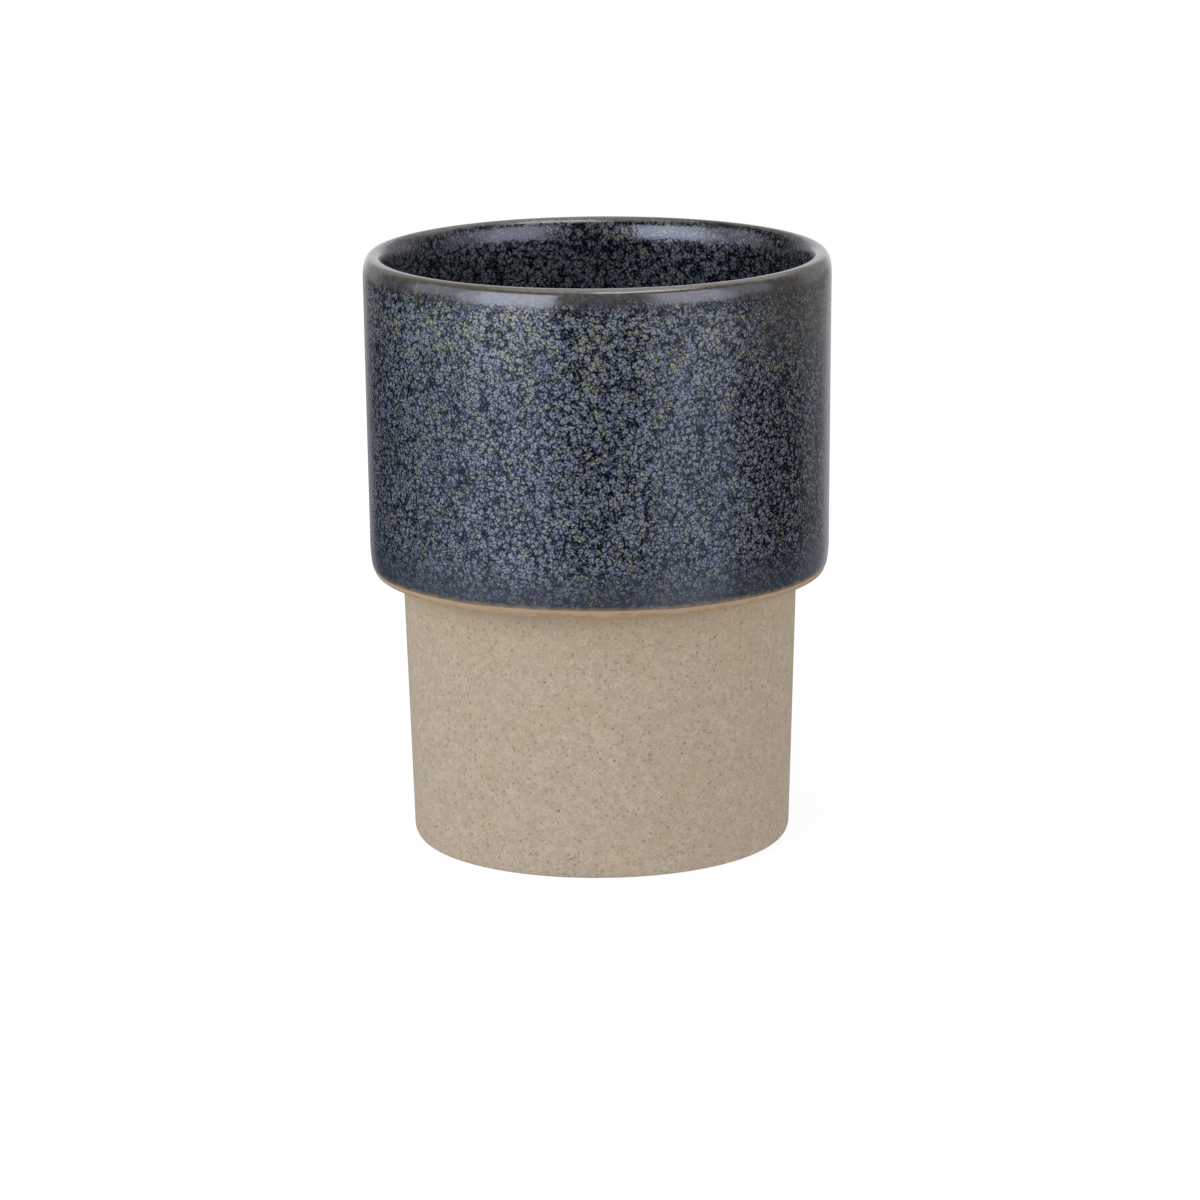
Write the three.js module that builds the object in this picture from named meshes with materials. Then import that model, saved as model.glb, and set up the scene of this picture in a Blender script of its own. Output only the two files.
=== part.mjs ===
// Handleless stoneware mug with a stepped wall. The wide upper section overhangs a
// narrower, slightly tapered base, so the base of one mug nests in the mouth of another
// and the step rests on its lip. The clay body is bare below the step. Two coats of
// glaze meet on the crown of the lip: one on the outside and one that lines the cavity.
// Millimetres, +Z up, origin at the centre of the foot on the standing plane.

import * as THREE from 'three';

// Driving dimensions of the finished surface, glaze included.
const HEIGHT = 100;
const RIM_RADIUS = 39.2;
const SHOULDER_RADIUS = 38.8;
const STEP_EDGE_RADIUS = 37.8;
const STEP_HEIGHT = 46.3;
const NECK_RADIUS = 33.3;
const FOOT_RADIUS = 32;

// Lip: its crown, the rounding outside it and the rounding inside it.
const CROWN_RADIUS = 37.3;
const LIP_OUTER_DROP = 4.3;
const LIP_INNER_WIDTH = 2;
const LIP_INNER_DROP = 4.5;
const LIP_SQUARENESS = 2.8;

// Roundings of the outside, from the shoulder down to the foot.
const SHOULDER_RISE = 5;
const SHOULDER_SQUARENESS = 1.8;
const STEP_EDGE_ROUND = 0.4;
const STEP_FILLET = 0.9;
const FOOT_ROUND_WIDTH = 1.3;
const FOOT_ROUND_HEIGHT = 1.9;

// Hollow under the foot, which leaves a ring to stand on.
const RECESS_RADIUS = 24;
const RECESS_DEPTH = 1.2;
const RECESS_FLARE = 1.2;

// Cavity: a wide upper part, a sloping ledge behind the step and a narrower well.
const CAVITY_RADIUS = CROWN_RADIUS - LIP_INNER_WIDTH;
const CAVITY_LEDGE_RADIUS = 35.1;
const WELL_RADIUS = 29.6;
const WELL_FLOOR_RADIUS = 28.7;
const FLOOR_HEIGHT = 5;
const LEDGE_SLOPE = THREE.MathUtils.degToRad(20);
const LEDGE_TOP_ROUND = 4;
const LEDGE_NOSE_ROUND = 3;
const LEDGE_ROUND_HEIGHT = 54.2;
const FLOOR_ROUND = 6;

// Glaze thickness, and where the outside coat feathers out on the shoulder.
const GLAZE = 0.45;
const GLAZE_EDGE_ANGLE = THREE.MathUtils.degToRad(-48);

const SEGMENTS = 48;
const QUARTER = Math.PI / 2;

function point(radius, height) {
  return new THREE.Vector2(radius, height);
}

// Rounded corner as part of a superellipse. Angles run counter-clockwise from the
// outward radial direction, and squareness 2 gives an ordinary ellipse.
function corner({ centre, width, height, from, to, steps, squareness = 2 }) {
  const swell = (value) => Math.sign(value) * Math.abs(value) ** (2 / squareness);
  const points = [];
  for (let step = 0; step <= steps; step += 1) {
    const angle = from + ((to - from) * step) / steps;
    const radius = centre.x + width * swell(Math.cos(angle));
    points.push(point(radius, centre.y + height * swell(Math.sin(angle))));
  }
  return points;
}

function arc(centre, radius, from, to, steps) {
  return corner({ centre, width: radius, height: radius, from, to, steps });
}

// Outer half of the lip, from the wall up to the crown. The depth is how far the
// outline lies below the finished surface: nothing, or the thickness of the glaze.
function outerLip(depth) {
  return corner({
    centre: point(CROWN_RADIUS, HEIGHT - LIP_OUTER_DROP),
    width: RIM_RADIUS - CROWN_RADIUS - depth,
    height: LIP_OUTER_DROP - depth,
    from: 0,
    to: QUARTER,
    steps: 7,
    squareness: LIP_SQUARENESS,
  });
}

// Shoulder of the upper section, from a given angle up to the straight wall.
function shoulder(depth, from, steps) {
  return corner({
    centre: point(STEP_EDGE_RADIUS, STEP_HEIGHT + SHOULDER_RISE),
    width: SHOULDER_RADIUS - STEP_EDGE_RADIUS - depth,
    height: SHOULDER_RISE,
    from,
    to: 0,
    steps,
    squareness: SHOULDER_SQUARENESS,
  });
}

// The line on the shoulder where the outside glaze ends on the bare clay.
const glazeEdge = shoulder(0, GLAZE_EDGE_ANGLE, 1)[0];

// Glazed part of the outside, from the edge of the glaze up to the crown of the lip.
function glazedOutside(depth) {
  const rise = shoulder(depth, GLAZE_EDGE_ANGLE, 4).slice(1);
  return [glazeEdge, ...rise, ...outerLip(depth)];
}

// Cavity wall and floor, from the crown of the lip down to the axis.
function cavityOutline(depth) {
  const lip = corner({
    centre: point(CROWN_RADIUS, HEIGHT - LIP_INNER_DROP),
    width: CROWN_RADIUS - CAVITY_RADIUS - depth,
    height: LIP_INNER_DROP - depth,
    from: QUARTER,
    to: 2 * QUARTER,
    steps: 4,
  });
  const topCentre = point(CAVITY_LEDGE_RADIUS - LEDGE_TOP_ROUND, LEDGE_ROUND_HEIGHT);
  const top = arc(topCentre, LEDGE_TOP_ROUND + depth, 0, LEDGE_SLOPE - QUARTER, 4);
  const nose = arc(noseCentre(topCentre), LEDGE_NOSE_ROUND - depth, LEDGE_SLOPE + QUARTER, 2 * QUARTER, 3);
  const floorCentre = point(WELL_FLOOR_RADIUS - FLOOR_ROUND, FLOOR_HEIGHT + FLOOR_ROUND);
  const floor = arc(floorCentre, FLOOR_ROUND + depth, 0, -QUARTER, 4);
  return [...lip, ...top, ...nose, ...floor, point(0, FLOOR_HEIGHT - depth)];
}

// Centre of the rounding at the ledge's inner edge, placed so that the straight slope
// between the ledge's two roundings leaves both of them without a kink.
function noseCentre(topCentre) {
  const radius = WELL_RADIUS + LEDGE_NOSE_ROUND;
  const run = topCentre.x - radius;
  const spread = (LEDGE_TOP_ROUND + LEDGE_NOSE_ROUND) / Math.cos(LEDGE_SLOPE);
  return point(radius, topCentre.y - run * Math.tan(LEDGE_SLOPE) - spread);
}

// Bare clay from the axis under the foot, up the base and round the step, ending just
// below the edge of the glaze.
function bareOutline() {
  const foot = corner({
    centre: point(FOOT_RADIUS - FOOT_ROUND_WIDTH, FOOT_ROUND_HEIGHT),
    width: FOOT_ROUND_WIDTH,
    height: FOOT_ROUND_HEIGHT,
    from: -QUARTER,
    to: 0,
    steps: 4,
  });
  const filletCentre = point(NECK_RADIUS + STEP_FILLET, STEP_HEIGHT - STEP_FILLET);
  return [
    point(0, RECESS_DEPTH),
    point(RECESS_RADIUS, RECESS_DEPTH),
    point(RECESS_RADIUS + RECESS_FLARE, 0),
    ...foot,
    ...arc(filletCentre, STEP_FILLET, 2 * QUARTER, QUARTER, 3),
    point(STEP_EDGE_RADIUS - STEP_EDGE_ROUND, STEP_HEIGHT),
    point(STEP_EDGE_RADIUS + STEP_EDGE_ROUND / 2, STEP_HEIGHT + STEP_EDGE_ROUND),
  ];
}

// Turns a closed outline about the vertical axis. The outline runs counter-clockwise
// when its outer side is on the right, and it closes on itself or on the axis.
function turned(name, outline, material) {
  const onAxis = outline[0].x === 0;
  const closed = onAxis ? outline : [...outline, outline[0]];
  const geometry = new THREE.LatheGeometry(closed, SEGMENTS);
  geometry.rotateX(QUARTER);
  const mesh = new THREE.Mesh(geometry, material);
  mesh.name = name;
  return mesh;
}

// One cast piece of speckled stoneware: base, step, upper wall, lip and floor.
function stonewareBody() {
  const material = new THREE.MeshStandardMaterial({ color: 0xb6a48b, roughness: 0.9, metalness: 0 });
  const crownOnwards = cavityOutline(GLAZE).slice(1);
  const outline = [...bareOutline(), ...glazedOutside(GLAZE), ...crownOnwards];
  return turned('stoneware_body', outline, material);
}

// Outside coat, from its feathered edge on the shoulder to the crown of the lip.
function outerGlaze() {
  const material = new THREE.MeshStandardMaterial({ color: 0x4f5663, roughness: 0.2, metalness: 0 });
  const claySide = glazedOutside(GLAZE).slice(1).reverse();
  return turned('outer_glaze', [...glazedOutside(0), ...claySide], material);
}

// Lining coat, over the floor and wall of the cavity up to the crown of the lip.
function linerGlaze() {
  const material = new THREE.MeshStandardMaterial({ color: 0x3a3f4a, roughness: 0.2, metalness: 0 });
  const claySide = cavityOutline(GLAZE).reverse();
  return turned('liner_glaze', [...claySide, ...cavityOutline(0)], material);
}

const mug = new THREE.Group();
mug.add(stonewareBody(), outerGlaze(), linerGlaze());

export default mug;
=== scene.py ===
"""Looks of a handleless stoneware mug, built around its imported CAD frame.

The clay body and its two coats of glaze are turned as fine closed meshes that stand for the
CAD nodes, with procedural materials. Outlines are in millimetres, as (radius, height) points
that run from under the foot, up the outside, over the lip and down to the cavity's floor.
"""

import math

import bpy
import numpy as np
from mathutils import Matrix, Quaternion, Vector


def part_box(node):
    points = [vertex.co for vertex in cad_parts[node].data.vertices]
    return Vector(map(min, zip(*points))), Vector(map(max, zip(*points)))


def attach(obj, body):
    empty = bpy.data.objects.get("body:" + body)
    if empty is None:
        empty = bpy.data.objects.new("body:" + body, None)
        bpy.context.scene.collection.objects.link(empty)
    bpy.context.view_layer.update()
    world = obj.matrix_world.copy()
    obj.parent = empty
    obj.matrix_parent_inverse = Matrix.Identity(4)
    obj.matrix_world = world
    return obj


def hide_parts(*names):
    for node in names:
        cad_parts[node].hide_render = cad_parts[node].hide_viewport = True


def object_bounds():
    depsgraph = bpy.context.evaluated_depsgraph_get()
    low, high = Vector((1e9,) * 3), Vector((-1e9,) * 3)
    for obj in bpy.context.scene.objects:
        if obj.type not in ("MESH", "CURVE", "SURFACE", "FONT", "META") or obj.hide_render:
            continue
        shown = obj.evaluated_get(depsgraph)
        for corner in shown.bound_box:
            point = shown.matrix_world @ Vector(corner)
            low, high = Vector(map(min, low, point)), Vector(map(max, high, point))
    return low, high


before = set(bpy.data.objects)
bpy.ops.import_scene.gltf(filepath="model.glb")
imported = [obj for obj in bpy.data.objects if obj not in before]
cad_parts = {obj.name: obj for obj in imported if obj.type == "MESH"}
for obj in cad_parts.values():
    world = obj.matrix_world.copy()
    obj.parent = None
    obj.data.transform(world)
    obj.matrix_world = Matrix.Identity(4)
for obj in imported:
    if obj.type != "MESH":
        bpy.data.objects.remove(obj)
cad_low, cad_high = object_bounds()

MM = 0.001
TINY = 1e-6
SEGMENTS = 320
LONGEST_ROW = 2.0

# Sizes taken from the frame.
HEIGHT = cad_high.z / MM
RIM_RADIUS = cad_high.x / MM
GLAZE_EDGE_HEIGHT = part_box("outer_glaze")[0].z / MM
CLAY_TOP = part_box("stoneware_body")[1].z / MM
GLAZE = HEIGHT - CLAY_TOP
FLOOR_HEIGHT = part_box("liner_glaze")[0].z / MM + GLAZE

# Outside, from the shoulder down.
SHOULDER_RADIUS = 38.8
SHOULDER_RISE = 5.0
SHOULDER_SQUARENESS = 1.8
SHOULDER_START = -74
STEP_EDGE_RADIUS = 37.8
STEP_HEIGHT = 46.3
STEP_EDGE_ROUND = 0.45
STEP_FILLET = 0.9
NECK_RADIUS = 33.3
FOOT_RADIUS = 32.0
FOOT_ROUND = (1.3, 1.9)
RECESS_RADIUS = 24.0
RECESS_DEPTH = 1.2

# Lip and cavity.
CROWN_RADIUS = 37.3
LIP_OUTER_DROP = 4.3
LIP_SQUARENESS = 2.8
LIP_INNER = (2.0, 4.5)
CAVITY_LEDGE_RADIUS = 35.1
LEDGE_ROUND_HEIGHT = 54.2
LEDGE_TOP_ROUND = 4.0
LEDGE_NOSE_ROUND = 3.0
LEDGE_SLOPE = 20.0
WELL_RADIUS = 29.6
WELL_FLOOR_RADIUS = 28.7
FLOOR_ROUND = 6.0

# Glaze edge: the bead that the coat ends in, and how far the edge wanders.
BEAD_HEIGHT = 0.09
BEAD_ROUND = 0.3
BEAD_FADE = 2.2
EDGE_WANDER = 0.14
EDGE_SAG = 0.4
WANDER_FADE = 4.0

# The clay recedes over this length to take the coat, and the coats sink a little into it.
COAT_ONSET = 6.0
COAT_SINK = 0.03

# Unevenness of a pot that was cast and fired: how far it is from round, as shares of its
# radius, and how its rim and its step rise and dip.
OVAL = 0.0011
THREE_LOBES = 0.0006
FIVE_LOBES = 0.0004
RIM_RISE = 0.05
RIM_RIPPLE = 0.03
STEP_DIP = 0.15
STEP_TILT = 0.3
STEP_REACH = 8.0


# ---------------------------------------------------------------- outlines


def corner(centre, width, height, start, end, squareness=2.0, steps=20):
    """Part of a superellipse, its angles in degrees counter-clockwise from outwards."""
    angles = np.radians(np.linspace(start, end, steps + 1))

    def swell(value):
        return np.sign(value) * np.abs(value) ** (2 / squareness)

    return np.column_stack(
        (centre[0] + width * swell(np.cos(angles)), centre[1] + height * swell(np.sin(angles)))
    )


def arc(centre, radius, start, end, steps=16):
    return corner(centre, radius, radius, start, end, steps=steps)


def outside_outline():
    """Finished outline from the axis under the foot to the crown of the lip."""
    foot_centre = (FOOT_RADIUS - FOOT_ROUND[0], FOOT_ROUND[1])
    shoulder_centre = (STEP_EDGE_RADIUS, STEP_HEIGHT + SHOULDER_RISE)
    lip_centre = (CROWN_RADIUS, HEIGHT - LIP_OUTER_DROP)
    recess_round = RECESS_DEPTH / 2
    return np.vstack(
        (
            [(0, RECESS_DEPTH)],
            arc((RECESS_RADIUS, recess_round), recess_round, 90, 0, 6),
            arc((RECESS_RADIUS + 2 * recess_round, recess_round), recess_round, 180, 270, 6),
            corner(foot_centre, *FOOT_ROUND, -90, 0),
            arc((NECK_RADIUS + STEP_FILLET, STEP_HEIGHT - STEP_FILLET), STEP_FILLET, 180, 90),
            arc(
                (STEP_EDGE_RADIUS - STEP_EDGE_ROUND, STEP_HEIGHT + STEP_EDGE_ROUND),
                STEP_EDGE_ROUND, -90, -50, 6,
            ),
            corner(
                shoulder_centre, SHOULDER_RADIUS - STEP_EDGE_RADIUS, SHOULDER_RISE,
                SHOULDER_START, 0, SHOULDER_SQUARENESS,
            ),
            corner(
                lip_centre, RIM_RADIUS - CROWN_RADIUS, LIP_OUTER_DROP,
                0, 90, LIP_SQUARENESS, 24,
            ),
        )
    )


def cavity_outline():
    """Finished outline from the crown of the lip to the axis on the cavity's floor."""
    top_centre = np.array((CAVITY_LEDGE_RADIUS - LEDGE_TOP_ROUND, LEDGE_ROUND_HEIGHT))
    nose_radius = WELL_RADIUS + LEDGE_NOSE_ROUND
    slope = math.radians(LEDGE_SLOPE)
    drop = (top_centre[0] - nose_radius) * math.tan(slope)
    drop += (LEDGE_TOP_ROUND + LEDGE_NOSE_ROUND) / math.cos(slope)
    nose_centre = (nose_radius, LEDGE_ROUND_HEIGHT - drop)
    floor_centre = (WELL_FLOOR_RADIUS - FLOOR_ROUND, FLOOR_HEIGHT + FLOOR_ROUND)
    return np.vstack(
        (
            corner((CROWN_RADIUS, HEIGHT - LIP_INNER[1]), *LIP_INNER, 90, 180, steps=24),
            arc(top_centre, LEDGE_TOP_ROUND, 0, LEDGE_SLOPE - 90),
            arc(nose_centre, LEDGE_NOSE_ROUND, 90 + LEDGE_SLOPE, 180),
            arc(floor_centre, FLOOR_ROUND, 0, -90),
            [(0, FLOOR_HEIGHT)],
        )
    )


def subdivided(points):
    """The same outline with no long stretch between two points."""
    fine = [points[0]]
    for start, end in zip(points[:-1], points[1:]):
        length = np.linalg.norm(end - start)
        if length < TINY:
            continue
        count = math.ceil(length / LONGEST_ROW)
        fine += [start + (end - start) * step / count for step in range(1, count + 1)]
    return np.array(fine)


class Outline:
    """A finished outline that can be read at any distance along it, in millimetres."""

    def __init__(self, points):
        self.points = points
        steps = np.linalg.norm(np.diff(points, axis=0), axis=1)
        self.along = np.concatenate(([0.0], np.cumsum(steps)))
        tangents = np.gradient(points, self.along, axis=0)
        tangents /= np.linalg.norm(tangents, axis=1)[:, None]
        self.normals = np.column_stack((tangents[:, 1], -tangents[:, 0]))
        on_axis = points[:, 0] < TINY
        self.normals[on_axis] = np.column_stack(
            (np.zeros(on_axis.sum()), np.sign(self.normals[on_axis, 1]))
        )

    def at(self, along, offset=0.0):
        """Radius and height at each distance along the outline, moved outwards by offset."""
        place = [np.interp(along, self.along, column) for column in self.points.T]
        normal = [np.interp(along, self.along, column) for column in self.normals.T]
        size = np.hypot(*normal)
        return [start + offset * lean / size for start, lean in zip(place, normal)]


def smoothstep(value, low, high):
    share = np.clip((value - low) / (high - low), 0, 1)
    return share * share * (3 - 2 * share)


outside = subdivided(outside_outline())
finished = Outline(np.vstack((outside, subdivided(cavity_outline())[1:])))
ALONG_CROWN = finished.along[len(outside) - 1]


def along_at_height(height):
    """Where the shoulder reaches a height, as a distance along the outline."""
    rising = (finished.points[:, 1] > STEP_HEIGHT + 0.1) & (finished.along < ALONG_CROWN)
    return float(np.interp(height, finished.points[rising, 1], finished.along[rising]))


ALONG_EDGE = along_at_height(GLAZE_EDGE_HEIGHT)


def coat_thickness(along):
    """Depth of the clay below the finished outline: none where it is bare."""
    return GLAZE * smoothstep(along - ALONG_EDGE, -0.2, COAT_ONSET)


def clay_at(along, sink=0.0):
    return finished.at(along, -coat_thickness(along) - sink)


# ---------------------------------------------------------------- meshes

angles = np.arange(SEGMENTS) * 2 * math.pi / SEGMENTS


def edge_wander():
    """How far the edge of the glaze strays up the shoulder at each angle.

    Each wave has its number of ripples round the mug, its share of the wander and its phase.
    """
    waves = (
        (3, 0.35, 1.9), (5, 0.3, 4.1), (8, 0.22, 2.6), (13, 0.16, 0.9), (21, 0.12, 5.2),
        (34, 0.1, 3.3), (55, 0.08, 1.1),
    )
    ripples = sum(share * np.sin(count * angles + phase) for count, share, phase in waves)
    return EDGE_WANDER * ripples - EDGE_SAG * (1 + np.cos(2 * angles)) / 2


def uneven(radius, height):
    """Moves a turned surface by the slight unevenness of a pot that was cast and fired."""
    lift = np.clip(height / HEIGHT, 0, 1)
    swell = OVAL * np.sin(2 * angles + 0.7) * lift
    swell = swell + THREE_LOBES * np.sin(3 * angles + 2.2)
    swell = swell + FIVE_LOBES * np.sin(5 * angles + height / 17)
    rim_rise = (RIM_RISE + RIM_RIPPLE * np.sin(3 * angles + 0.3)) * lift**6
    near_step = np.exp(-(((height - STEP_HEIGHT) / STEP_REACH) ** 2))
    step_tilt = (STEP_TILT * np.sin(angles) - STEP_DIP) * near_step
    return radius * (1 + swell), height + rim_rise + step_tilt


def turned(name, radius, height, marks):
    """A closed mesh from rows of points round the axis. Rows of no radius become poles.

    radius and height have a row for each point of the outline and a column for each
    segment. marks holds named values of the same shape, which the materials read.
    """
    radius, height = uneven(radius, height)
    rows = []
    points = []
    kept = []
    for row in range(len(radius)):
        pole = radius[row].max() < TINY
        rows.append((len(points), pole))
        for segment in range(1 if pole else SEGMENTS):
            across = radius[row, segment] * MM
            up = height[row, segment] * MM
            angle = angles[segment]
            points.append((across * math.cos(angle), across * math.sin(angle), up))
            kept.append((row, segment))
    ring = rows if rows[0][1] else rows + rows[:1]
    faces = []
    for (low, low_pole), (high, high_pole) in zip(ring[:-1], ring[1:]):
        for segment in range(SEGMENTS):
            after = (segment + 1) % SEGMENTS
            face = [low + segment, low + after, high + after, high + segment]
            if low_pole:
                face = [low, high + after, high + segment]
            elif high_pole:
                face = [low + segment, low + after, high]
            faces.append(face)
    mesh = bpy.data.meshes.new(name)
    mesh.from_pydata(points, [], faces)
    mesh.polygons.foreach_set("use_smooth", [True] * len(faces))
    rows_kept, segments_kept = np.array(kept).T
    for mark, values in marks.items():
        attribute = mesh.attributes.new(mark, "FLOAT", "POINT")
        attribute.data.foreach_set("value", values[rows_kept, segments_kept].astype(np.float32))
    mesh.update()
    piece = bpy.data.objects.new(name, mesh)
    bpy.context.scene.collection.objects.link(piece)
    return piece


def round_the_axis(values):
    return np.repeat(np.asarray(values, float)[:, None], SEGMENTS, axis=1)


def clay_piece():
    along = round_the_axis(finished.along)
    radius, height = clay_at(along)
    radius[0], radius[-1] = 0, 0
    below_edge = ALONG_EDGE + edge_wander()[None, :] - along
    return turned("clay_body", radius, height, {"below_edge": below_edge})


def outside_coat():
    """The coat from its wandering edge up to the crown, as a closed shell on the clay."""
    length = ALONG_CROWN - ALONG_EDGE
    bead_rows = BEAD_ROUND * (1 - np.cos(np.linspace(0, math.pi / 2, 9)))
    rows_past_bead = (0.45, 0.7)
    above_bead = (finished.along > ALONG_EDGE + 1) & (finished.along < ALONG_CROWN)
    rise = finished.along[above_bead] - ALONG_EDGE
    from_edge = np.concatenate((bead_rows, rows_past_bead, rise, (length,)))
    distance = round_the_axis(from_edge)
    wander = edge_wander()[None, :] * np.exp(-distance / WANDER_FADE) * (1 - distance / length)
    along = ALONG_EDGE + distance + wander
    rounding = np.sqrt(1 - (1 - np.clip(distance / BEAD_ROUND, 0, 1)) ** 2)
    bead = BEAD_HEIGHT * rounding * np.exp(-distance / BEAD_FADE)
    thin_edge = -coat_thickness(along) * (1 - rounding)
    outer = finished.at(along, bead + thin_edge)
    inner = clay_at(along[::-2], COAT_SINK)
    radius, height = (np.vstack(pair) for pair in zip(outer, inner))
    marks = {
        "from_edge": np.vstack((distance, distance[::-2])),
        "from_crown": np.vstack((length - distance, (length - distance)[::-2])),
    }
    return turned("dipped_glaze", radius, height, marks)


# The lining has no edge on bare clay, so it is marked as far from one.
NO_EDGE = 100


def lining_coat():
    """The coat from the crown down the cavity to the axis, as a closed shell on the clay."""
    along = round_the_axis(finished.along[finished.along >= ALONG_CROWN - TINY])
    outer = finished.at(along)
    inner = clay_at(along[::-1], COAT_SINK)
    radius, height = (np.vstack(pair) for pair in zip(inner, outer))
    radius[0], radius[-1] = 0, 0
    from_crown = along - ALONG_CROWN
    both = np.vstack((from_crown[::-1], from_crown))
    marks = {"from_edge": both + NO_EDGE, "from_crown": both}
    return turned("lining_glaze", radius, height, marks)


# ---------------------------------------------------------------- materials


class Nodes:
    """A node tree, with short calls for the nodes that it is made of."""

    def __init__(self, tree):
        self.tree = tree

    def put(self, socket, value):
        if isinstance(value, bpy.types.NodeSocket):
            self.tree.links.new(value, socket)
        else:
            socket.default_value = value

    def node(self, kind, inputs, **settings):
        made = self.tree.nodes.new("ShaderNode" + kind)
        for setting, value in settings.items():
            setattr(made, setting, value)
        for name, value in inputs.items():
            self.put(made.inputs[name], value)
        return made

    def set(self, node, **sockets):
        """Sets a node's own sockets, whose names are given with _ for each space."""
        for name, value in sockets.items():
            self.put(self.tree.nodes[node].inputs[name.replace("_", " ")], value)

    def position(self):
        """The place on the object in millimetres."""
        place = self.node("TexCoord", {}).outputs["Object"]
        return self.node("VectorMath", {0: place, 1: (1 / MM,) * 3}, operation="MULTIPLY").outputs[0]

    def mark(self, name):
        return self.node("Attribute", {}, attribute_name=name).outputs["Fac"]

    def math(self, operation, first, second=0.0, third=0.0):
        sockets = {0: first, 1: second, 2: third}
        return self.node("Math", sockets, operation=operation).outputs[0]

    def noise(self, place, size, detail=2.0, roughness=0.5, output="Fac"):
        """Soft noise from 0 to 1 whose lumps are about size millimetres across."""
        sockets = {"Vector": place, "Scale": 1 / size, "Detail": detail, "Roughness": roughness}
        return self.node("TexNoise", sockets).outputs[output]

    def cells(self, place, size, feature="F1"):
        """Irregular cells about size millimetres across."""
        sockets = {"Vector": place, "Scale": 1 / size}
        return self.node("TexVoronoi", sockets, feature=feature)

    def moved(self, place, size, amount):
        """A place shaken by noise, so that what is drawn there has crooked outlines."""
        shake = self.noise(place, size, output="Color")
        centred = self.node("VectorMath", {0: shake, 1: (0.5,) * 3}, operation="SUBTRACT").outputs[0]
        sockets = {0: centred, 1: (amount,) * 3, 2: place}
        return self.node("VectorMath", sockets, operation="MULTIPLY_ADD").outputs[0]

    def added(self, level, parts):
        """A level with each part added to it, as (part, weight) pairs."""
        for part, weight in parts:
            level = self.math("MULTIPLY_ADD", part, weight, level)
        return level

    def between(self, value, low, high, to_low=0.0, to_high=1.0):
        """Runs smoothly from to_low to to_high as value goes from low to high."""
        sockets = {
            "Value": value, "From Min": low, "From Max": high, "To Min": to_low, "To Max": to_high,
        }
        return self.node("MapRange", sockets, interpolation_type="SMOOTHSTEP").outputs[0]

    def mix(self, share, first, second, blend="MIX"):
        made = self.node("Mix", {0: share}, data_type="RGBA", blend_type=blend)
        for socket, value in ((6, first), (7, second)):
            self.put(made.inputs[socket], (*value, 1.0) if isinstance(value, tuple) else value)
        return made.outputs[2]

    def ramp(self, value, stops):
        """A colour for each value, with stops as (value, colour) pairs."""
        made = self.node("ValToRGB", {"Fac": value})
        elements = made.color_ramp.elements
        while len(elements) < len(stops):
            elements.new(0.5)
        for element, (place, colour) in zip(elements, stops):
            element.position = place
            element.color = (*colour, 1.0)
        return made.outputs[0]

    def bump(self, height, depth, under=None):
        """A bump whose height of 1 stands for depth millimetres."""
        sockets = {"Height": height, "Distance": depth * MM, "Strength": 1.0}
        if under is not None:
            sockets["Normal"] = under
        return self.node("Bump", sockets).outputs["Normal"]


def new_material(name):
    material = bpy.data.materials.new(name)
    material.use_nodes = True
    return material, Nodes(material.node_tree)


# Colours of the glaze, linear: from the dark glaze to the bright middles of its crystals,
# with the tints that change them from place to place.
CRYSTAL_COLOURS = (
    (0.0, (0.0008, 0.0018, 0.0058)),
    (0.22, (0.0092, 0.0152, 0.0305)),
    (0.5, (0.0620, 0.0765, 0.1045)),
    (0.8, (0.132, 0.153, 0.190)),
    (1.0, (0.238, 0.266, 0.310)),
)
OLIVE_TINT = (1.22, 1.15, 0.74)
BLUE_TINT = (0.91, 0.985, 1.13)
COOL_ROSETTE = (0.93, 1.0, 1.03)
WARM_ROSETTE = (1.06, 0.985, 1.01)
# Warmer tint of the painted shade on the right side.
RIGHT_SHADE_TINT = (1.04, 1.0, 0.88)
HAZE = (0.036, 0.044, 0.062)
# Grey of the painted sheen on the upper right side.
PAINTED_SHEEN_GREY = (0.062, 0.062, 0.068)
EDGE_TAN = (0.215, 0.158, 0.108)
LIP_DARK = (0.044, 0.044, 0.053)
LIP_GREY = (0.064, 0.061, 0.060)
LIP_TOP = (0.098, 0.089, 0.069)
LIP_SPOTS = (0.138, 0.114, 0.060)

# Level that the crystals start from, before what crowds them is added.
FEW_CRYSTALS = -1.2

# Colours of the clay, linear.
CLAY_PALE = (0.440, 0.384, 0.318)
CLAY_WARM = (0.438, 0.366, 0.264)
CLAY_MOTTLE = (0.330, 0.270, 0.208)
CLAY_GRIT = (0.290, 0.238, 0.186)
CLAY_MARKS = (0.240, 0.194, 0.152)
FAINT_SPECKS = (0.190, 0.145, 0.105)
DARK_SPECKS = (0.120, 0.088, 0.066)
# Faint tan that is partly toasting and partly painted warm shade under the step.
TOAST_AND_WARM_SHADE = (0.325, 0.245, 0.165)
TAN_BAND = (0.312, 0.228, 0.148)
ORANGE_LINE = (0.268, 0.160, 0.082)


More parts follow.
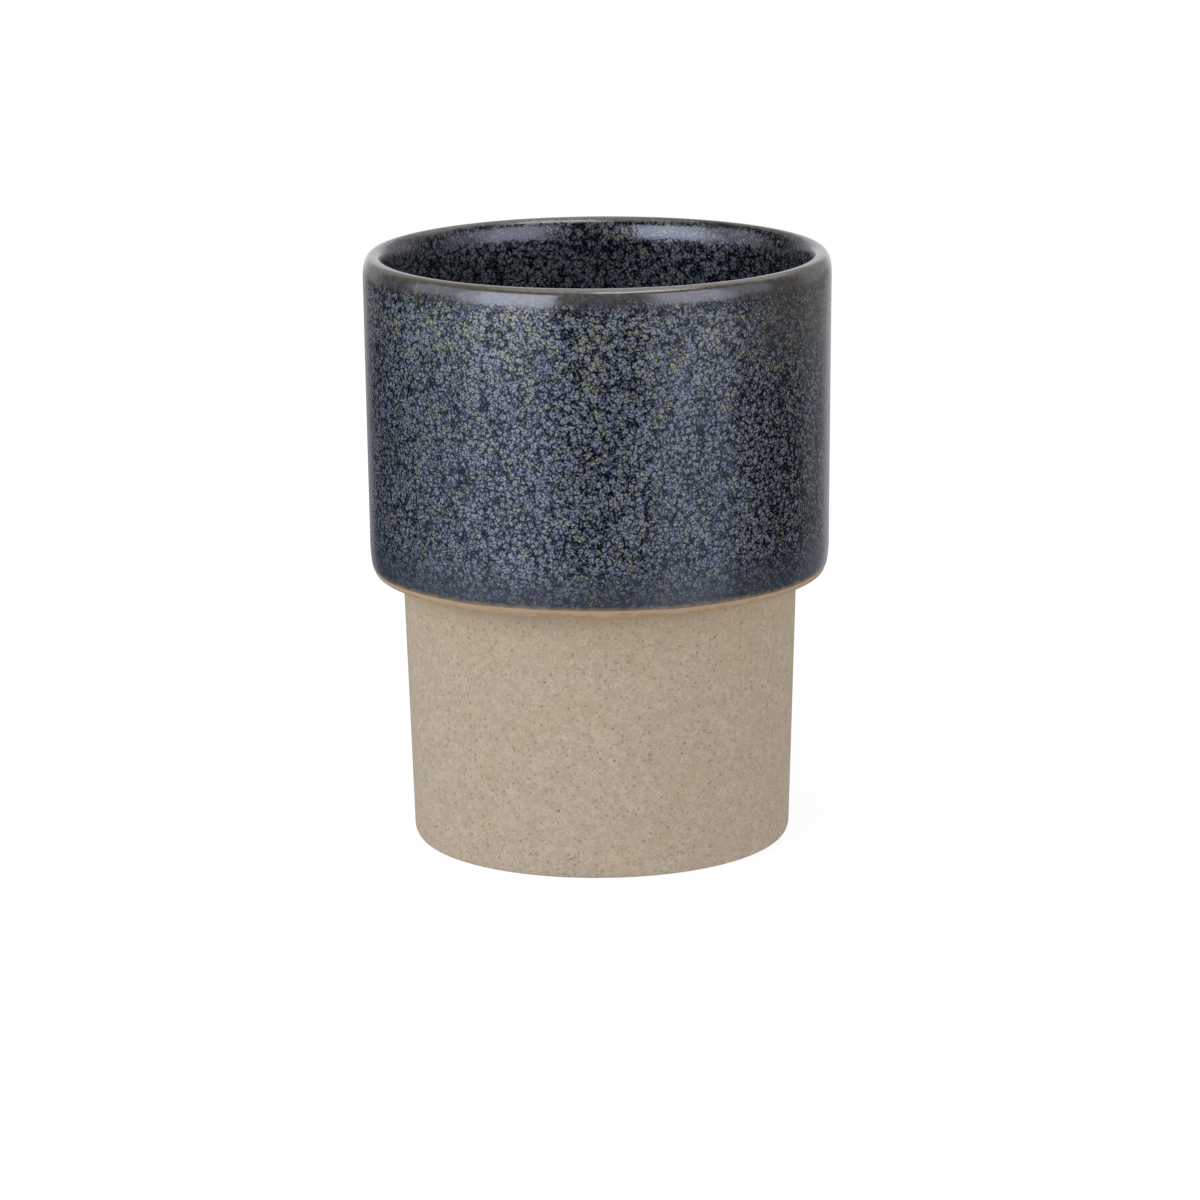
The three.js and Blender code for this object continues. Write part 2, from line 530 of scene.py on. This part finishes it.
def crystal_glaze(name, light, lip_width, size, clearing, yellowing):
    """Glossy blue-black glaze crowded with pale crystals, thin and olive on the lip.

    light scales the colours: the coat in the cavity is darker. lip_width is how far from
    the crown the thin glaze reaches, in millimetres, and size scales the crystals.
    clearing is how much sparser they are beside the thin glaze, and yellowing how much more
    crowded and olive they are a little further down.
    """
    material, glaze = new_material(name)
    place = glaze.position()
    from_crown = glaze.mark("from_crown")
    across = glaze.node("SeparateXYZ", {0: place}).outputs[0]
    patch = glaze.noise(glaze.moved(place, 1.5, 1.0), 1.4)
    high = glaze.between(from_crown, 7.0, 22.0, yellowing, 0.0)
    # Painted shade on the right side, by the place across the mug: fewer crystals and a warmer tint.
    right_shade = glaze.between(across, 18.0, 31.0)

    # The crystals crowd in some places, and are few just below the lip. They are fewer on the right
    # side and at the left edge as painted shade, which darkens those sides.
    under_lip = glaze.between(from_crown, 2.5, 6.5, FEW_CRYSTALS - clearing, FEW_CRYSTALS)
    crowd = glaze.noise(place, 5.5)
    # Painted shade at the left edge: fewer crystals there.
    left_edge_shade = glaze.between(across, -36.5, -31.0, -0.12, 0.0)
    parts = ((high, 0.07), (crowd, 0.4), (patch, 0.5), (right_shade, -0.17), (left_edge_shade, 1.0))
    crowding = glaze.added(under_lip, parts)
    crystal, chance = crystals(glaze, place, size, crowding)
    coloured = crystal_colour(glaze, place, crystal, chance, high)
    tinted = glaze.mix(right_shade, coloured, RIGHT_SHADE_TINT, "MULTIPLY")
    # Painted grey sheen over the coat higher up on the right side.
    painted_sheen = glaze.math("MULTIPLY", glaze.math("MULTIPLY", right_shade, high), 0.45)

    edged = lower_edge(glaze, tinted, painted_sheen, patch)
    thin, lip_colour = thin_lip(glaze, place, from_crown, lip_width)
    lipped = glaze.mix(thin, edged, lip_colour)

    raised = glaze.math("MULTIPLY", crystal, glaze.math("SUBTRACT", 1.0, thin))
    rippled = glaze.bump(glaze.noise(place, 3.2), 0.05)
    glaze.set(
        "Principled BSDF",
        Base_Color=glaze.mix(1.0, lipped, light, "MULTIPLY"),
        Metallic=glaze.between(raised, 0.15, 0.75, 0.0, 0.3),
        Roughness=glaze.between(raised, 0.1, 0.8, 0.13, 0.3),
        Specular_IOR_Level=0.5,
        IOR=1.75,
        Normal=glaze.bump(raised, 0.012, rippled),
    )
    return material


def crystals(glaze, place, size, crowding):
    """How crystalline the glaze is in each place, and a chance that each rosette has.

    Rosettes about a millimetre across are made of petals, with crooked dark gaps between.
    """
    crooked = glaze.moved(place, 0.4, 0.4)
    rosettes = glaze.cells(crooked, 0.95 * size)
    rosette = glaze.between(rosettes.outputs["Distance"], 0.32, 0.86, 1.0, 0.0)
    gaps = glaze.cells(crooked, 0.95 * size, "DISTANCE_TO_EDGE").outputs["Distance"]
    parted = glaze.between(gaps, 0.0, 0.16)
    petals = glaze.cells(glaze.moved(place, 0.2, 0.16), 0.36 * size)
    petal = glaze.between(petals.outputs["Distance"], 0.15, 0.85, 1.0, 0.0)
    fine = glaze.noise(place, 0.17 * size, 1.0)
    crystal = glaze.added(crowding, ((rosette, 0.44), (parted, 0.24), (petal, 0.78), (fine, 0.8)))
    chance = glaze.node("SeparateColor", {0: rosettes.outputs["Color"]}).outputs[1]
    return crystal, chance


def crystal_colour(glaze, place, crystal, chance, high):
    """Pale grey-blue crystals in dark glaze, with olive patches and bluer ones."""
    pale = glaze.ramp(crystal, CRYSTAL_COLOURS)
    olive_noise = glaze.noise(glaze.moved(place, 1.2, 1.2), 2.0)
    olive_patch = glaze.between(glaze.math("MULTIPLY_ADD", high, 0.08, olive_noise), 0.5, 0.68)
    olive = glaze.mix(glaze.math("MULTIPLY", olive_patch, 0.9), pale, OLIVE_TINT, "MULTIPLY")
    blue_patch = glaze.between(glaze.noise(glaze.moved(place, 1.0, 1.0), 1.7), 0.53, 0.7)
    blue = glaze.mix(blue_patch, olive, BLUE_TINT, "MULTIPLY")
    hue = glaze.mix(chance, COOL_ROSETTE, WARM_ROSETTE)
    return glaze.mix(1.0, blue, hue, "MULTIPLY")


def lower_edge(glaze, colour, painted_sheen, patch):
    """Near its lower edge the coat is hazier, and it thins out to the tan clay.

    Its third argument is how far the coat is veiled in a painted grey sheen higher up on its right
    side.
    """
    from_edge = glaze.mark("from_edge")
    hazy = glaze.mix(glaze.between(from_edge, 0.6, 9.0, 0.62, 0.0), colour, HAZE)
    sheened = glaze.mix(painted_sheen, hazy, PAINTED_SHEEN_GREY)
    fray = glaze.math("MULTIPLY", glaze.math("SUBTRACT", patch, 0.5), 0.9)
    frayed = glaze.math("ADD", from_edge, fray)
    return glaze.mix(glaze.between(frayed, -0.1, 0.85, 0.95, 0.0), sheened, EDGE_TAN)


def thin_lip(glaze, place, from_crown, lip_width):
    """Where the coat is thin on the lip, and its colour there.

    It is grey-olive and paler on top, with tan spots where it breaks.
    """
    crown = glaze.math("MULTIPLY_ADD", glaze.noise(place, 1.6), 2.4, from_crown)
    thin = glaze.between(crown, lip_width - 1.6, lip_width + 1.6, 1.0, 0.0)
    top = glaze.between(crown, 1.8, 3.4, 1.0, 0.0)
    mottle = glaze.noise(glaze.moved(place, 0.6, 0.5), 0.6, 2.0, 0.6)
    grey = glaze.mix(glaze.between(mottle, 0.38, 0.62), LIP_DARK, LIP_GREY)
    crowned = glaze.mix(top, grey, LIP_TOP)
    breaks = glaze.noise(glaze.moved(place, 0.8, 0.8), 0.9)
    return thin, glaze.mix(glaze.between(breaks, 0.56, 0.68, 0.0, 0.6), crowned, LIP_SPOTS)


def stoneware():
    """Matte beige stoneware with faint specks, tan from toasting beside the edge of the glaze, and
    with painted warm shade under the step.
    """
    material, clay = new_material("speckled_stoneware")
    place = clay.position()
    below = clay.mark("below_edge")
    mottle = clay.noise(place, 1.4, 3.0, 0.6)
    grit = clay.noise(place, 0.2, 2.0, 0.7)
    mottled = clay_ground(clay, place, below, mottle)
    spotted = clay_grain(clay, place, grit, mottled)
    rough_grit = clay.bump(grit, 0.015)
    clay.set(
        "Principled BSDF",
        Base_Color=toasted_and_shaded(clay, place, below, mottle, spotted),
        Roughness=clay.between(grit, 0.3, 0.8, 0.8, 0.95),
        Specular_IOR_Level=0.25,
        Normal=clay.bump(mottle, 0.02, rough_grit),
    )
    return material


def clay_ground(clay, place, below, mottle):
    """Warmer patches, mostly near the step, soft upright streaks and darker mottling."""
    broad = clay.noise(clay.moved(place, 5.0, 4.0), 8.0)
    near_step = clay.between(below, 4.0, 22.0, 0.2, 0.0)
    warm = clay.between(clay.math("ADD", broad, near_step), 0.38, 0.72)
    base = clay.mix(warm, CLAY_PALE, CLAY_WARM)
    stretch = {0: place, 1: (1.0, 1.0, 0.45)}
    upright = clay.node("VectorMath", stretch, operation="MULTIPLY").outputs[0]
    streak = clay.noise(upright, 1.7)
    cloud = clay.math("MULTIPLY_ADD", streak, 0.25, clay.math("MULTIPLY", mottle, 0.75))
    return clay.mix(clay.between(cloud, 0.38, 0.62, 0.6, 0.0), base, CLAY_MOTTLE)


def clay_grain(clay, place, grit, mottled):
    """Fine grit, crooked darker marks between the paler grains, and specks.

    Most specks are faint, and here and there is a dark one.
    """
    gritty = clay.mix(clay.between(grit, 0.36, 0.64, 0.7, 0.0), mottled, CLAY_GRIT)
    marks = clay.noise(clay.moved(place, 0.6, 0.6), 0.4, 2.0, 0.7)
    grained = clay.mix(clay.between(marks, 0.5, 0.68, 0.0, 0.75), gritty, CLAY_MARKS)
    crooked = clay.moved(place, 0.28, 0.34)
    faint = clay.math("MULTIPLY", specks(clay, crooked, 0.9, 0.34), 0.58)
    speckled = clay.mix(faint, grained, FAINT_SPECKS)
    dark = clay.math("MULTIPLY", specks(clay, crooked, 2.3, 0.105), 0.8)
    return clay.mix(dark, speckled, DARK_SPECKS)


def toasted_and_shaded(clay, place, below, mottle, spotted):
    """Tan beside the glaze and a broken orange line along the step; the faint tan further down is
    partly toasting and partly painted warm shade.
    """
    shift = clay.math("MULTIPLY", clay.math("SUBTRACT", mottle, 0.5), 1.7)
    ragged = clay.math("ADD", below, shift)
    # Faint tan further down: partly toasting, partly painted warm shade under the step.
    glow = clay.mix(clay.between(below, 2.0, 11.0, 0.5, 0.0), spotted, TOAST_AND_WARM_SHADE)
    band = clay.mix(clay.between(ragged, 1.4, 2.8, 0.8, 0.0), glow, TAN_BAND)
    off_line = clay.math("ABSOLUTE", clay.math("SUBTRACT", ragged, 1.0))
    broken = clay.between(clay.noise(place, 2.6), 0.38, 0.58, 0.25, 0.85)
    on_line = clay.math("MULTIPLY", clay.between(off_line, 0.1, 0.6, 1.0, 0.0), broken)
    return clay.mix(on_line, band, ORANGE_LINE)


def specks(clay, place, spacing, largest):
    """1 inside specks of many sizes, in cells of a given spacing, and 0 between them.

    largest is the radius of the largest speck, as a share of the spacing.
    """
    cells = clay.cells(place, spacing)
    chance = clay.node("SeparateColor", {0: cells.outputs["Color"]}).outputs[0]
    radius = clay.between(chance, 0.1, 1.0, 0.0, largest)
    inside = clay.math("SUBTRACT", radius, cells.outputs["Distance"])
    return clay.between(inside, -0.15 * largest, 0.3 * largest)


# ---------------------------------------------------------------- pieces


def dressed(piece, material, node):
    """Gives a piece its material and lets it stand for a CAD node."""
    piece.data.materials.append(material)
    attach(piece, "root")
    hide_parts(node)


dipped = crystal_glaze(
    "dipped_crystal_glaze",
    light=(1.0, 1.0, 1.0),
    lip_width=4.6,
    size=1.0,
    clearing=0.3,
    yellowing=1.0,
)
lining = crystal_glaze(
    "lining_crystal_glaze",
    light=(0.70, 0.67, 0.63),
    lip_width=1.8,
    size=1.25,
    clearing=0.0,
    yellowing=0.0,
)
dressed(clay_piece(), stoneware(), "stoneware_body")
dressed(outside_coat(), dipped, "outer_glaze")
dressed(lining_coat(), lining, "liner_glaze")


# ---------------------------------------------------------------- studio

# The floor's half width in metres, what it gives off, and the even light from all round.
FLOOR_HALF = 8.0
FLOOR_COLOUR = (0.25, 0.25, 0.25, 1.0)
FLOOR_GLOW = 0.85
AMBIENT = 0.55
BACKDROP = 1.05

# The camera looks down by this many degrees, from a distance and at a height that are
# shares of the mug's height.
CAMERA_ELEVATION = 12.62
CAMERA_DISTANCE = 8.56
CAMERA_AIM = 0.401
CAMERA_ROLL = -0.5
CAMERA_LENS = 151.5


def floor():
    """A wide white floor, which the glaze doesn't mirror."""
    near, far = -FLOOR_HALF, FLOOR_HALF
    mesh = bpy.data.meshes.new("studio_floor")
    corners = [(near, near, 0), (far, near, 0), (far, far, 0), (near, far, 0)]
    mesh.from_pydata(corners, [], [(0, 1, 2, 3)])
    made = bpy.data.objects.new("studio_floor", mesh)
    made.visible_glossy = False
    bpy.context.scene.collection.objects.link(made)
    material, white = new_material("floor_white")
    white.set(
        "Principled BSDF",
        Base_Color=FLOOR_COLOUR,
        Roughness=1.0,
        Specular_IOR_Level=0.0,
        Emission_Color=(1.0, 1.0, 1.0, 1.0),
        Emission_Strength=FLOOR_GLOW,
    )
    mesh.materials.append(material)


def softbox(name, azimuth, elevation, width, height, radiance, colour):
    """A softbox a metre away that lights the mug but isn't mirrored in its glaze.

    Azimuth 0 is towards the camera and 90 to its right.
    """
    turn = math.radians(azimuth)
    rise = math.radians(elevation)
    flat = math.cos(rise)
    towards = Vector((math.sin(turn) * flat, -math.cos(turn) * flat, math.sin(rise)))
    light = bpy.data.lights.new(name, "AREA")
    light.shape = "RECTANGLE"
    light.size = width
    light.size_y = height
    light.energy = radiance * math.pi * width * height
    light.color = colour
    made = bpy.data.objects.new(name, light)
    made.location = (cad_low + cad_high) / 2 + towards
    made.rotation_mode = "QUATERNION"
    made.rotation_quaternion = towards.to_track_quat("Z", "Y")
    made.visible_glossy = False
    bpy.context.scene.collection.objects.link(made)


# What the glaze mirrors: smooth-edged boxes of light round the mug, in degrees. Azimuth 0
# is towards the camera and 90 to its right. (azimuth, half width, softness), (lowest,
# highest, softness) in elevation, radiance, colour.
COOL = (0.95, 1.0, 1.22)
DEEP = (0.9, 1.0, 1.28)
PLAIN = (1.0, 0.99, 1.03)
NO_CARD = (0.02, 0.02, 0.02)
CARDS = (
    ((-46, 25, 4), (-4, 39, 5), 1.9, COOL),       # softbox on the left, with its dimmer side
    ((-41, 20, 6), (-4, 39, 5), 1.7, COOL),
    ((-86, 17, 10), (2, 36, 8), 0.95, COOL),
    ((48, 20, 12), (-1, 41, 5), 2.1, COOL),       # weaker softbox on the right
    ((82, 12, 10), (2, 36, 8), 0.65, COOL),
    ((-48, 25, 14), (-60, -5, 3), 0.23, DEEP),    # their glow in the table top
    ((-84, 17, 14), (-60, -5, 3), 0.15, DEEP),
    ((48, 22, 10), (-60, -5, 3), 0.32, DEEP),
    ((150, 28, 12), (-60, -9, 3), 0.19, PLAIN),   # the table behind the mug
    ((178, 26, 14), (-60, -9, 3), 0.38, PLAIN),
    ((180, 22, 16), (-9, 24, 6), 0.55, PLAIN),    # backdrop, and the dimmer wall round it
    ((172, 54, 18), (-7, 58, 10), 0.5, PLAIN),
    ((148, 46, 20), (34, 82, 14), 0.6, PLAIN),
    ((40, 42, 8), (57, 76, 4), 3.6, PLAIN),       # lights overhead
    ((0, 181, 1), (62, 91, 6), 1.2, PLAIN),
)


def surroundings():
    """White for the camera, an even glow for diffuse light, and the cards for gloss."""
    world = bpy.data.worlds.new("studio")
    world.use_nodes = True
    tree = world.node_tree
    sky = Nodes(tree)
    direction = sky.node("TexCoord", {}).outputs["Generated"]
    axes = sky.node("SeparateXYZ", {0: direction})
    turn = sky.math("ARCTAN2", axes.outputs[0], sky.math("MULTIPLY", axes.outputs[1], -1.0))
    azimuth = sky.math("DEGREES", turn)
    elevation = sky.math("DEGREES", sky.math("ARCSINE", axes.outputs[2]))

    def window(value, low, high, soft):
        rise = sky.between(value, low - soft / 2, low + soft / 2)
        fall = sky.between(value, high - soft / 2, high + soft / 2, 1.0, 0.0)
        return sky.math("MULTIPLY", rise, fall)

    mirrored = NO_CARD
    for (middle, half, soft), (low, high, edge), radiance, colour in CARDS:
        off = sky.math("PINGPONG", sky.math("SUBTRACT", azimuth, middle), 180.0)
        across = sky.between(off, half - soft / 2, half + soft / 2, 1.0, 0.0)
        box = sky.math("MULTIPLY", across, window(elevation, low, high, edge))
        light = tuple(radiance * part for part in colour)
        sockets = {0: box, 1: light, 2: mirrored}
        mirrored = sky.node("VectorMath", sockets, operation="MULTIPLY_ADD").outputs[0]

    path = sky.node("LightPath", {}).outputs
    unlit = sky.mix(path["Is Camera Ray"], (AMBIENT,) * 3, (BACKDROP,) * 3)
    background = tree.nodes["Background"]
    sky.put(background.inputs["Color"], sky.mix(path["Is Glossy Ray"], unlit, mirrored))
    bpy.context.scene.world = world


def camera():
    """A long lens a little above the mug, rolled by half a degree."""
    middle = (cad_low + cad_high) / 2
    tall = cad_high.z - cad_low.z
    elevation = math.radians(CAMERA_ELEVATION)
    back = Vector((0, -math.cos(elevation), math.sin(elevation)))
    eye = middle + back * CAMERA_DISTANCE * tall
    aim = Vector((middle.x, middle.y, cad_low.z + CAMERA_AIM * tall))
    lens = bpy.data.cameras.new("camera")
    lens.sensor_width = 36.0
    lens.lens = CAMERA_LENS
    made = bpy.data.objects.new("camera", lens)
    made.location = eye
    made.rotation_mode = "QUATERNION"
    roll = Quaternion((0, 0, 1), math.radians(CAMERA_ROLL))
    made.rotation_quaternion = (aim - eye).to_track_quat("-Z", "Y") @ roll
    bpy.context.scene.collection.objects.link(made)
    bpy.context.scene.camera = made


floor()
softbox(
    "key_light",
    azimuth=-52,
    elevation=24,
    width=0.9,
    height=0.8,
    radiance=3.0,
    colour=(1.0, 1.0, 1.0),
)
softbox(
    "fill_light",
    azimuth=58,
    elevation=14,
    width=0.7,
    height=0.5,
    radiance=2.5,
    colour=(1.08, 1.0, 0.88),
)
surroundings()
bpy.context.scene.view_settings.view_transform = "Standard"
camera()
